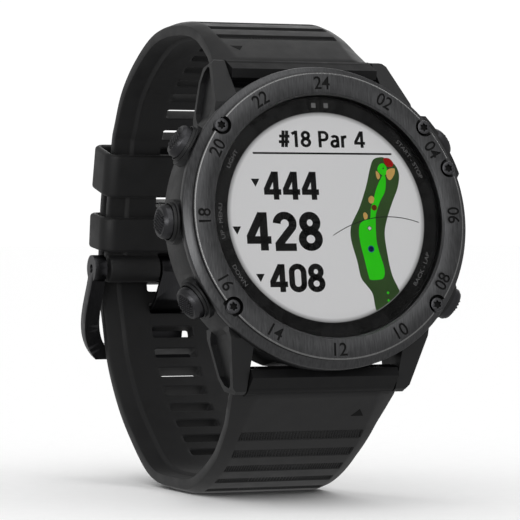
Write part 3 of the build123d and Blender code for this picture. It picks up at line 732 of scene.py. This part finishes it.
def ribbon(points, half):
    """A flat strip of even width along a line of points."""
    pts = [np.array(points[0], float)]
    for q in points[1:]:
        if np.hypot(*(np.array(q) - pts[-1])) > 1e-4:
            pts.append(np.array(q, float))
    verts = []
    closed = np.hypot(*(pts[0] - pts[-1])) < 1e-3
    for i, q in enumerate(pts):
        before = unit(q - pts[i - 1]) if i else (unit(q - pts[-2]) if closed else None)
        after = unit(pts[i + 1] - q) if i < len(pts) - 1 else (unit(pts[1] - q) if closed else None)
        before = after if before is None else before
        after = before if after is None else after
        across = unit((-(before[1] + after[1]), before[0] + after[0]))
        reach = half / max(0.5, abs(across @ np.array((-after[1], after[0]))))
        verts += [tuple(q + across * reach), tuple(q - across * reach)]
    return verts, [(2 * i, 2 * i + 1, 2 * i + 3, 2 * i + 2) for i in range(len(pts) - 1)]


def strokes(text, weight, gap):
    """Text as strips in the plane, with its box from (0, 0) to (width, 1)."""
    parts, pen = [], 0.0
    for letter in text:
        width, lines = GLYPHS[letter]
        for points in lines:
            parts.append(ribbon([(pen + x, y) for x, y in points], weight / 2))
        pen += width + gap
    verts, faces = merge(parts)
    flat = np.array(verts)
    low, high = flat.min(0), flat.max(0)
    return (flat - low) / (high[1] - low[1]), faces


def arc_text(text, radius, angle, height, condense, tops_out, weight, low, high):
    """Text bent round the dial, from one height of the case frame to another."""
    co, faces = flat_text(text, weight, 0.1 if high > low else 0.0)
    width = co[:, 0].max()
    verts = []
    for x, y, z in co:
        across = (x - width / 2) * height * condense
        rise = (y - 0.5) * height
        turn = math.degrees(across / radius)
        if tops_out:
            u, v = polar(radius + rise, angle + turn)
        else:
            u, v = polar(radius - rise, angle - turn)
        verts.append(case_point(u, v, high if z > 0 else low))
    return verts, faces


# ---- bezel
# The ring's section, as (radius, height), and which of its faces are the polished edge, whose
# lighter colour is a painted highlight
PROFILE = [(22.5, -1.7), (22.5, -0.2), (20.4, -0.2), (20.4, 1.33), (20.46, 1.40), (20.74, 1.71),
           (20.84, 1.75), (23.9, 1.75), (24.06, 1.70), (24.15, 1.58), (24.15, 0.86),
           (24.22, 0.74), (24.72, 0.36), (25.2, 0.06), (25.42, -0.08), (25.5, -0.26),
           (25.5, -1.42), (25.42, -1.6), (25.3, -1.7)]
POLISHED_HIGHLIGHT_FACES = (7, 8)
# The plug that cuts a screw's seat, as (radius, height)
SEAT = ((1.5, 0.55), (1.62, 0.65), (1.62, 3.0))
NUMERAL_R, NUMERAL_TALL, NUMERAL_NARROW, NUMERAL_WEIGHT = 22.4, 2.2, 0.96, 0.012
NUMERAL_FLOOR, NUMERAL_ABOVE = 1.60, 2.4


def boolean(target, cutter):
    """Cuts one object out of another with the exact solver, and removes the cutter."""
    cut = target.modifiers.new("cut", "BOOLEAN")
    cut.operation, cut.object, cut.solver = "DIFFERENCE", cutter, "EXACT"
    cut.material_mode, cut.use_self = "TRANSFER", True
    result = evaluated_mesh(target)
    target.modifiers.remove(cut)
    target.data = result
    bpy.data.objects.remove(cutter)


def raw_object(name, verts, faces, mat):
    """An unfinished object for the exact cuts."""
    mesh = new_mesh(name, verts, faces)
    mesh.materials.append(mat)
    face_outwards(mesh)
    return new_object(name, mesh)


def seat_mesh(angle, n=32):
    """The plug of one screw's seat."""
    cu, cv = polar(SCREW_R, angle)
    verts = [case_point(cu, cv, SEAT[0][1])]
    for r, h in SEAT:
        verts += [case_point(u, v, h) for u, v in circle(cu, cv, r, n)]
    verts.append(case_point(cu, cv, SEAT[-1][1]))
    ends = [(i, (i + 1) % n) for i in range(n)]
    faces = [(0, 1 + i, 1 + j) for i, j in ends]
    for low in (1, 1 + n):
        faces += [(low + i, low + n + i, low + n + j, low + j) for i, j in ends]
    faces += [(1 + 2 * n + i, len(verts) - 1, 1 + 2 * n + j) for i, j in ends]
    return verts, faces


def numeral_mesh(hour):
    """The engraver's tool for one of the 24-hour numbers, at a place of the 12-hour dial."""
    label = "24" if hour == 0 else f"{2 * hour:02d}"
    tops_out = not 4 <= hour <= 8
    return arc_text(label, NUMERAL_R, 30 * hour, NUMERAL_TALL, NUMERAL_NARROW, tops_out,
                    NUMERAL_WEIGHT, NUMERAL_FLOOR, NUMERAL_ABOVE)


ring = raw_object("bezel_ring", *lathe(PROFILE, 256, case_point), TITANIUM)
# The polished edge's faces take the lighter metal: a painted highlight
ring.data.materials.append(EDGE_HIGHLIGHT)
for face in ring.data.polygons:
    if face.index % len(PROFILE) in POLISHED_HIGHLIGHT_FACES:
        face.material_index = 1
seats = [seat_mesh(angle) for angle in SCREW_ANGLES]
# The seats' walls take the socket shadow: painted shade round each screw head
boolean(ring, raw_object("seat_cutter", *merge(seats), SOCKET_SHADE))
numerals = [numeral_mesh(hour) for hour in range(12)]
# The numerals' cut faces take the dark titanium copy: painted shade
boolean(ring, raw_object("numeral_cutter", *merge(numerals), ENGRAVED_SHADE))
finish_piece(ring, "watch", ["bezel"], 24)


# ---- bezel screws
# A screw's section, as (radius, how far the six lobes swell it, height), and the socket's faces
SCREW_RINGS = [(0.03, 0.0, 1.12), (0.60, 0.11, 1.12), (0.62, 0.11, 1.56), (0.98, 0.0, 1.59),
               (1.12, 0.0, 1.53), (1.19, 0.0, 1.40), (1.19, 0.0, 0.62), (0.57, 0.0, 0.61),
               (0.57, 0.0, -6.4), (0.03, 0.0, -6.45)]
SOCKET_RINGS = 2


def screw_mesh(angle):
    """A button-head screw with a six-lobe socket, and which faces lie in the socket."""
    cu, cv = polar(SCREW_R, angle)
    steps, n = 60, len(SCREW_RINGS)
    verts = []
    for i in range(steps):
        a = 2 * math.pi * i / steps
        for r, lobe, h in SCREW_RINGS:
            reach = r + lobe * math.cos(6 * a)
            verts.append(case_point(cu + reach * math.sin(a), cv + reach * math.cos(a), h))
    return verts, ring_faces(steps, n), [int(k < SOCKET_RINGS) for k in range(n)] * steps


screws = [screw_mesh(angle) for angle in SCREW_ANGLES]
# The screws' socket faces take the socket shadow: painted shade
piece("bezel_screw_set", *merge([s[:2] for s in screws]), [SCREW, SOCKET_SHADE], slot="screw_steel",
      replaces=["bezel_screws"], inks=[ink for s in screws for ink in s[2]])


# ---- buttons
def radial_place(angle):
    """Maps a local point, with its axis outwards at an angle, to the watch frame."""
    a = math.radians(angle)
    ax, ay = math.sin(a), math.cos(a)
    return lambda p, q, r: case_point(ax * r + ay * p, ay * r - ax * p, BUTTON_H + q)


# A button's cap and stem, as (radius, distance from the case's axis)
CAP = [(0.02, 24.6), (2.76, 24.6), (2.86, 24.7), (2.86, 27.3), (2.80, 27.5), (2.60, 27.72),
       (2.5, 27.92), (2.42, 27.98), (0.02, 27.98)]
STEM = [(0.02, 20.2), (0.9, 20.2), (0.9, 20.5), (0.55, 20.5), (0.55, 20.95), (0.9, 20.95),
        (0.9, 22.4), (0.6, 22.4), (0.6, 23.1), (0.9, 23.1), (0.9, 24.65), (0.02, 24.65)]
# The knurl's diamonds: spacing, reach, half sizes, half size of the tip, foot and tip
KNURL_PITCH, KNURL_R, KNURL_COUNT = 0.62, 2.05, 6
KNURL_P, KNURL_Q, KNURL_TIP = KNURL_PITCH * 0.47, KNURL_PITCH * 0.70, 0.10
KNURL_FOOT, KNURL_TOP = 27.95, 28.28


def button_mesh(angle):
    """A round cap with a diamond-knurled end, a smooth chamfer and a stem."""
    place = radial_place(angle)
    verts, faces = [], []
    span = range(-KNURL_COUNT, KNURL_COUNT + 1)
    for i, j in ((i, j) for i in span for j in span):
        p, q = i * KNURL_PITCH / 2, j * KNURL_PITCH / 2 * 1.5
        if (i + j) % 2 or math.hypot(p, q) > KNURL_R:
            continue
        k = len(verts)
        for dp, dq, h in ((KNURL_P, KNURL_Q, KNURL_FOOT), (KNURL_TIP, KNURL_TIP, KNURL_TOP)):
            verts += [place(p - dp, q, h), place(p, q - dq, h),
                      place(p + dp, q, h), place(p, q + dq, h)]
        faces += [(k, k + 3, k + 2, k + 1), (k + 4, k + 5, k + 6, k + 7)]
        faces += [(k + e, k + (e + 1) % 4, k + 4 + (e + 1) % 4, k + 4 + e) for e in range(4)]
    return merge([lathe(CAP, 56, place), lathe(STEM, 24, place), (verts, faces)])


for name, angle in BUTTONS.items():
    piece(f"button_cap_{name}", *button_mesh(angle), GUNMETAL, body=f"button_{name}",
          slot="button_steel", replaces=[f"button_{name}"], angle=30)


# ---- display
def ink(name, color, vary=0.18, grain=6.0):
    """A matt colour of the display."""
    return moulded(name, color, 0.7, grain=grain, vary=vary, Specular_IOR_Level=0.1)


INK = ink("display ink", grey(0.012), 0.02)
ROUGH = ink("hole rough", (0.045, 0.098, 0.028), 0.12, 3)
FAIRWAY = ink("hole fairway", (0.035, 0.80, 0.010), 0.06, 3)
RED = ink("hole flag", (0.45, 0.010, 0.008))
SAND = ink("hole sand", (0.75, 0.46, 0.14), 0.15)
BROWN = ink("hole layup", (0.14, 0.035, 0.006), 0.1)
BLUE = ink("hole marker blue", (0.004, 0.012, 0.07))
TEAL = ink("hole marker rim", (0.02, 0.16, 0.22))
ARC = ink("hole arc", grey(0.02), 0.05)
WHITE = moulded("hole marker white", grey(0.75), 0.6, vary=0.05)
LABEL = moulded("label grey", grey(0.13), 0.6, vary=0.1)
WINDOW = moulded("light sensor", grey(0.16), 0.5, vary=0.1)


def painted_screen_material():
    """A pale reflective display with painted shade darkening it softly near its edge, and a faint
    painted glow.
    """
    # The faint emission is a painted glow
    mat, shader = new_material("display paper painted shade and glow", grey(0.5), 0.55,
                               Emission_Color=(1.0, 1.0, 1.0, 1.0), Emission_Strength=0.09)
    coords = case_coords(mat)
    links = mat.node_tree.links
    flat = per_mm(mat, coords, (1, 1, 0))
    length = add(mat, "ShaderNodeVectorMath", operation="LENGTH")
    links.new(flat, length.inputs[0])
    # Painted shade that darkens the display towards its rim
    rim_shade = add(mat, "ShaderNodeValToRGB")
    ramp = rim_shade.color_ramp.elements
    ramp[0].color, ramp[1].color = (0.84, 0.84, 0.85, 1), (0.12, 0.12, 0.12, 1)
    ramp.new(0.55).color = (0.82, 0.82, 0.83, 1)
    span = add(mat, "ShaderNodeMapRange", **{"From Min": 16.0, "From Max": 17.75})
    links.new(length.outputs["Value"], span.inputs["Value"])
    links.new(span.outputs["Result"], rim_shade.inputs["Fac"])
    links.new(rim_shade.outputs["Color"], shader.inputs["Base Color"])
    fine = noise(mat, coords, (8, 8, 8), 1.0)
    vary_rough(mat, shader, fine, 0.5, 0.6)
    bump(mat, shader, fine, 0.002)
    return mat


PAINTED_SCREEN = painted_screen_material()
# The display's slips of ink lie in layers above this height
SCREEN_H, LAYER = -0.03, 0.003


def screen_level(level):
    return SCREEN_H + LAYER * level


def flat_piece(name, outline, level, mat):
    """A thin flat shape on the display, as a closed slip of ink."""
    n = len(outline)
    verts = [case_point(u, v, screen_level(k)) for k in (level, level - 1) for u, v in outline]
    faces = [tuple(range(n)), tuple(range(2 * n - 1, n - 1, -1))]
    faces += [(i, (i + 1) % n, n + (i + 1) % n, n + i) for i in range(n)]
    piece(name, verts, faces, mat, slot="display_grey")


def loop(points, steps=6, reach=17.62):
    """A smooth closed outline through points, kept on the display."""
    pts = np.array(points, float)
    out = []
    n = len(pts)
    for i in range(n):
        p0, p1, p2, p3 = pts[i - 1], pts[i], pts[(i + 1) % n], pts[(i + 2) % n]
        for j in range(steps):
            t = j / steps
            q = 0.5 * (2 * p1 + (p2 - p0) * t + (2 * p0 - 5 * p1 + 4 * p2 - p3) * t * t
                       + (3 * p1 - p0 - 3 * p2 + p3) * t**3)
            out.append(tuple(q * (reach / max(reach, np.hypot(*q)))))
    return out


def fit_text(name, text, box, weight, gap=0.1):
    """Text stretched to a box (u0, u1, v0, v1) on the display, as closed slips of ink."""
    flat, faces = strokes(text, weight, gap)
    u0, u1, v0, v1 = box
    width = flat[:, 0].max()
    verts, n = [], len(flat)
    for h in (screen_level(2), screen_level(1)):
        verts += [case_point(u0 + (u1 - u0) * x / width, v0 + (v1 - v0) * y, h) for x, y in flat]
    closed = []
    for a, b, c, d in faces:
        closed += [(a, b, c, d), (d + n, c + n, b + n, a + n)]
        closed += [(b, a, a + n, b + n), (d, c, c + n, d + n),
                   (a, d, d + n, a + n), (c, b, b + n, c + n)]
    piece(name, verts, closed, INK, slot="display_grey")


flat_piece("screen_face", circle(0, 0, ACTIVE_R, 128), 1, PAINTED_SCREEN)
fit_text("screen_title", "#18 Par 4", (-7.7, 7.9, 11.7, 14.6), 0.175)
fit_text("screen_back", "444", (-11.0, -1.1, 2.9, 7.7), 0.20, 0.045)
fit_text("screen_middle", "428", (-14.6, -1.0, -5.7, 0.9), 0.20, 0.045)
fit_text("screen_front", "408", (-11.0, -1.1, -12.6, -7.8), 0.20, 0.045)
flat_piece("screen_rule", [(-12.5, 10.58), (12.6, 10.58), (12.6, 10.9), (-12.5, 10.9)], 2, INK)
for i, (u, v) in enumerate(((-12.4, 5.8), (-16.2, -2.2), (-12.6, -10.1))):
    corners = [(u - 0.76, v + 0.62), (u + 0.76, v + 0.62), (u, v - 0.74)]
    flat_piece(f"screen_marker_{i}", corners, 2, INK)
# The hole, from the tee at the bottom to the green, in millimetres on the dial
HOLE_ROUGH = [
    (9.2, 9.8), (10.4, 10.2), (11.2, 10.1), (12.7, 9.3), (13.5, 8.2), (13.7, 6.8), (13.2, 4.8),
    (12.1, 2.5), (11.0, -0.1), (10.3, -2.7), (10.5, -6.1), (11.1, -9.8), (12.3, -12.9),
    (11.0, -14.3), (8.0, -16.0), (7.3, -13.0), (6.3, -11.5), (5.4, -10.2), (4.9, -7.4),
    (4.1, -3.9), (4.2, -1.7), (5.0, -0.1), (6.1, 1.8), (7.5, 5.2), (8.5, 8.4)]
HOLE_FAIRWAY = [
    (10.9, 7.3), (11.2, 6.4), (10.9, 4.4), (9.9, 2.7), (9.0, 0.7), (8.8, -0.7), (8.7, -3.9),
    (9.1, -6.1), (9.7, -8.4), (9.7, -9.8), (9.1, -10.5), (7.2, -10.6), (6.8, -9.9), (6.3, -7.3),
    (5.8, -4.8), (5.6, -2.8), (5.9, -1.2), (6.9, -0.5), (7.8, -0.2), (8.1, 1.5), (8.7, 3.0),
    (9.3, 4.7), (10.2, 6.4)]
HOLE_GREEN = [(9.8, 8.2), (10.3, 9.0), (11.0, 9.1), (11.5, 8.4), (11.4, 7.4), (10.8, 7.1),
              (10.1, 7.5)]
HOLE_FLAG = [(11.1, 10.0), (12.1, 10.0), (12.8, 9.2), (12.5, 8.6), (11.7, 8.6), (11.2, 9.2)]
for name, outline, level, mat in (("hole_rough", HOLE_ROUGH, 2, ROUGH),
                                  ("hole_fairway", HOLE_FAIRWAY, 3, FAIRWAY),
                                  ("hole_green", HOLE_GREEN, 4, FAIRWAY),
                                  ("hole_flag", HOLE_FLAG, 5, RED)):
    flat_piece(name, loop(outline), level, mat)
flat_piece("hole_cup", circle(10.9, 8.3, 0.16, 12), 5, ROUGH)
bunkers = ([(11.5, 7.9), (12.3, 8.3), (13.0, 8.2), (12.8, 7.2), (12.0, 6.3), (11.4, 6.9)],
           [(9.5, 7.8), (9.9, 7.6), (10.2, 6.9), (9.8, 6.4), (9.5, 7.0)],
           [(7.8, 3.2), (8.3, 3.6), (8.8, 3.3), (8.7, 2.6), (8.2, 2.3), (7.8, 2.6)],
           [(6.6, 0.5), (7.0, 0.8), (7.4, 0.3), (7.2, -0.4), (6.8, -0.4)])
for i, outline in enumerate(bunkers):
    flat_piece(f"hole_bunker_{i}", loop(outline), 5, SAND)
flat_piece("hole_layup", circle(8.7, 1.6, 0.5), 6, BROWN)
flat_piece("hole_ball_rim", circle(7.6, -1.9, 0.5, 4), 5, ROUGH)
flat_piece("hole_ball", circle(7.6, -1.9, 0.36, 4), 6, WHITE)
flat_piece("hole_aim_rim", circle(7.6, -5.4, 0.6), 5, TEAL)
flat_piece("hole_aim", circle(7.6, -5.4, 0.44), 6, BLUE)
for i, (u, v) in enumerate(((10.1, -12.8), (10.1, -14.1))):
    flat_piece(f"hole_tee_{i}", circle(u, v, 0.26, 4), 3, FAIRWAY)
# The distance arc across the hole: a parabola through three points
reach = np.linspace(0.9, 16.7, 33)
height = np.polyval(np.polyfit((0.9, 11.5, 16.7), (-3.1, 0.05, -0.9), 2), reach)
arc_half = 0.07
flat_piece("hole_arc", [(u, v + arc_half) for u, v in zip(reach, height)]
           + [(u, v - arc_half) for u, v in zip(reach[::-1], height[::-1])], 6, ARC)

# What the border carries: the buttons' functions and the two windows of the light sensor
LABEL_R, LABEL_TALL, LABEL_WIDE = 18.95, 0.66, 1.3
LABEL_LOW, LABEL_HIGH = 0.002, 0.005
LABELS = (("light", "LIGHT", 301, True), ("up", "UP - MENU", 268, True),
          ("down", "DOWN", 239, False), ("start", "START - STOP", 58, True),
          ("back", "BACK - LAP", 118, False))
for tag, text, angle, tops_out in LABELS:
    piece(f"label_{tag}", *arc_text(text, LABEL_R, angle, LABEL_TALL, LABEL_WIDE, tops_out, 0.0,
                                    LABEL_LOW, LABEL_HIGH), LABEL, slot="mask_black")
WINDOW_FACES = [(0, 1, 2, 3), (7, 6, 5, 4), (0, 4, 5, 1), (1, 5, 6, 2), (2, 6, 7, 3), (3, 7, 4, 0)]
for tag, u in (("a", -1.05), ("b", 1.2)):
    size = 0.4
    corners = [(u - size, 18.5), (u + size, 18.5), (u + size, 19.3), (u - size, 19.3)]
    verts = [case_point(x, y, h) for h in (LABEL_HIGH, LABEL_LOW) for x, y in corners]
    piece(f"light_window_{tag}", verts, WINDOW_FACES, WINDOW, slot="mask_black")


# ---- carried-over CAD nodes
# Edge widths in millimetres
SOFT_EDGES = {"mid_case": 0.14, "buckle_frame": 0.28, "buckle_tongue": 0.14, "connector_upper": 0.2,
              "connector_lower": 0.2, "latch_upper": 0.1, "latch_lower": 0.1}
for name, obj in NODES.items():
    packed_slot = obj.data.materials[0].name.split(".")[0]
    obj.data.materials.clear()
    obj.data.materials.append(BY_SLOT[packed_slot])
    if name in SOFT_EDGES:
        obj.modifiers.new("weld", "WELD").merge_threshold = 2e-6
        bevel = obj.modifiers.new("edge", "BEVEL")
        bevel.width = SOFT_EDGES[name] * MM
        bevel.segments, bevel.limit_method = 2, "ANGLE"
        bevel.angle_limit = math.radians(38)


# ---- stage, light, camera
FLOOR = moulded("floor", grey(0.92), 0.9, vary=0.01, depth=0.0)
floor_mesh = bpy.data.meshes.new("floor")
floor_mesh.from_pydata([(-6, -6, 0), (6, -6, 0), (6, 6, 0), (-6, 6, 0)], [], [(0, 1, 2, 3)])
floor_mesh.materials.append(FLOOR)
floor = new_object("floor", floor_mesh)
# The floor throws no light back at the watch
floor.visible_diffuse = floor.visible_glossy = False

# A dome that lights the watch a little more from below, and that the camera sees as white
world = bpy.data.worlds.new("studio")
world.use_nodes = True
sky = world.node_tree
lit = sky.nodes["Background"]
lit.inputs["Color"].default_value = (1, 1, 1, 1)
seen = add(world, "ShaderNodeBackground", Color=(1, 1, 1, 1), Strength=1.05)
heading = add(world, "ShaderNodeTexCoord")
axes = add(world, "ShaderNodeSeparateXYZ")
dome = add(world, "ShaderNodeMapRange",
           **{"From Min": -1.0, "From Max": 0.2, "To Min": 0.40, "To Max": 0.36})
path_info = add(world, "ShaderNodeLightPath")
mixer = add(world, "ShaderNodeMixShader")
for start, end in ((heading.outputs["Generated"], axes.inputs[0]),
                   (axes.outputs["Z"], dome.inputs["Value"]),
                   (dome.outputs["Result"], lit.inputs["Strength"]),
                   (path_info.outputs["Is Camera Ray"], mixer.inputs[0]),
                   (lit.outputs[0], mixer.inputs[1]), (seen.outputs[0], mixer.inputs[2]),
                   (mixer.outputs[0], sky.nodes["World Output"].inputs["Surface"])):
    sky.links.new(start, end)
bpy.context.scene.world = world

# The soft lights light the watch alone
watch_only = bpy.data.collections.new("softbox receivers")
for obj in bpy.context.scene.objects:
    if obj.type == "MESH" and obj is not floor:
        watch_only.objects.link(obj)


def softbox(name, place, aim, width, height, power):
    """A rectangular soft light, in metres, pointed at a place."""
    data = bpy.data.lights.new(name, "AREA")
    data.shape, data.size, data.size_y, data.energy = "RECTANGLE", width, height, power
    obj = new_object(name, data)
    obj.location = place
    obj.rotation_euler = (Vector(aim) - Vector(place)).to_track_quat("-Z", "Y").to_euler()
    obj.light_linking.receiver_collection = watch_only


CENTRE = (0, 0, 0.045)
softbox("key_left", (-0.70, -0.62, 0.13), CENTRE, 0.5, 0.26, 1.5)
softbox("front_left", (-0.35, -0.90, 0.13), CENTRE, 0.5, 0.26, 0.9)
softbox("top", (0.0, -0.25, 0.85), CENTRE, 0.7, 0.7, 1.3)
softbox("front_right", (0.02, -0.92, 0.56), CENTRE, 0.64, 0.5, 0.95)
softbox("back_left", (-0.42, 0.95, 0.06), CENTRE, 0.5, 0.5, 0.15)
softbox("back_right", (0.55, 0.85, 0.45), CENTRE, 0.6, 0.6, 1.2)

# The wide sun lights the floor alone
sun = bpy.data.lights.new("floor_wash", "SUN")
sun.energy, sun.angle = 2.35, 2.2
wash = new_object("floor_wash", sun)
only_floor = bpy.data.collections.new("wash receivers")
only_floor.objects.link(floor)
wash.light_linking.receiver_collection = only_floor

camera = new_object("camera", bpy.data.cameras.new("camera"))
camera.data.sensor_width = 36.0
camera.data.lens = 220.34
camera.location = (-0.20864, -0.52198, 0.04687)
yaw, pitch = math.radians(22.072), math.radians(0.640)
camera.rotation_euler = (math.pi / 2 - pitch, 0, -yaw)
camera.data.clip_end = 50
bpy.context.scene.camera = camera
bpy.context.scene.view_settings.view_transform = "Standard"
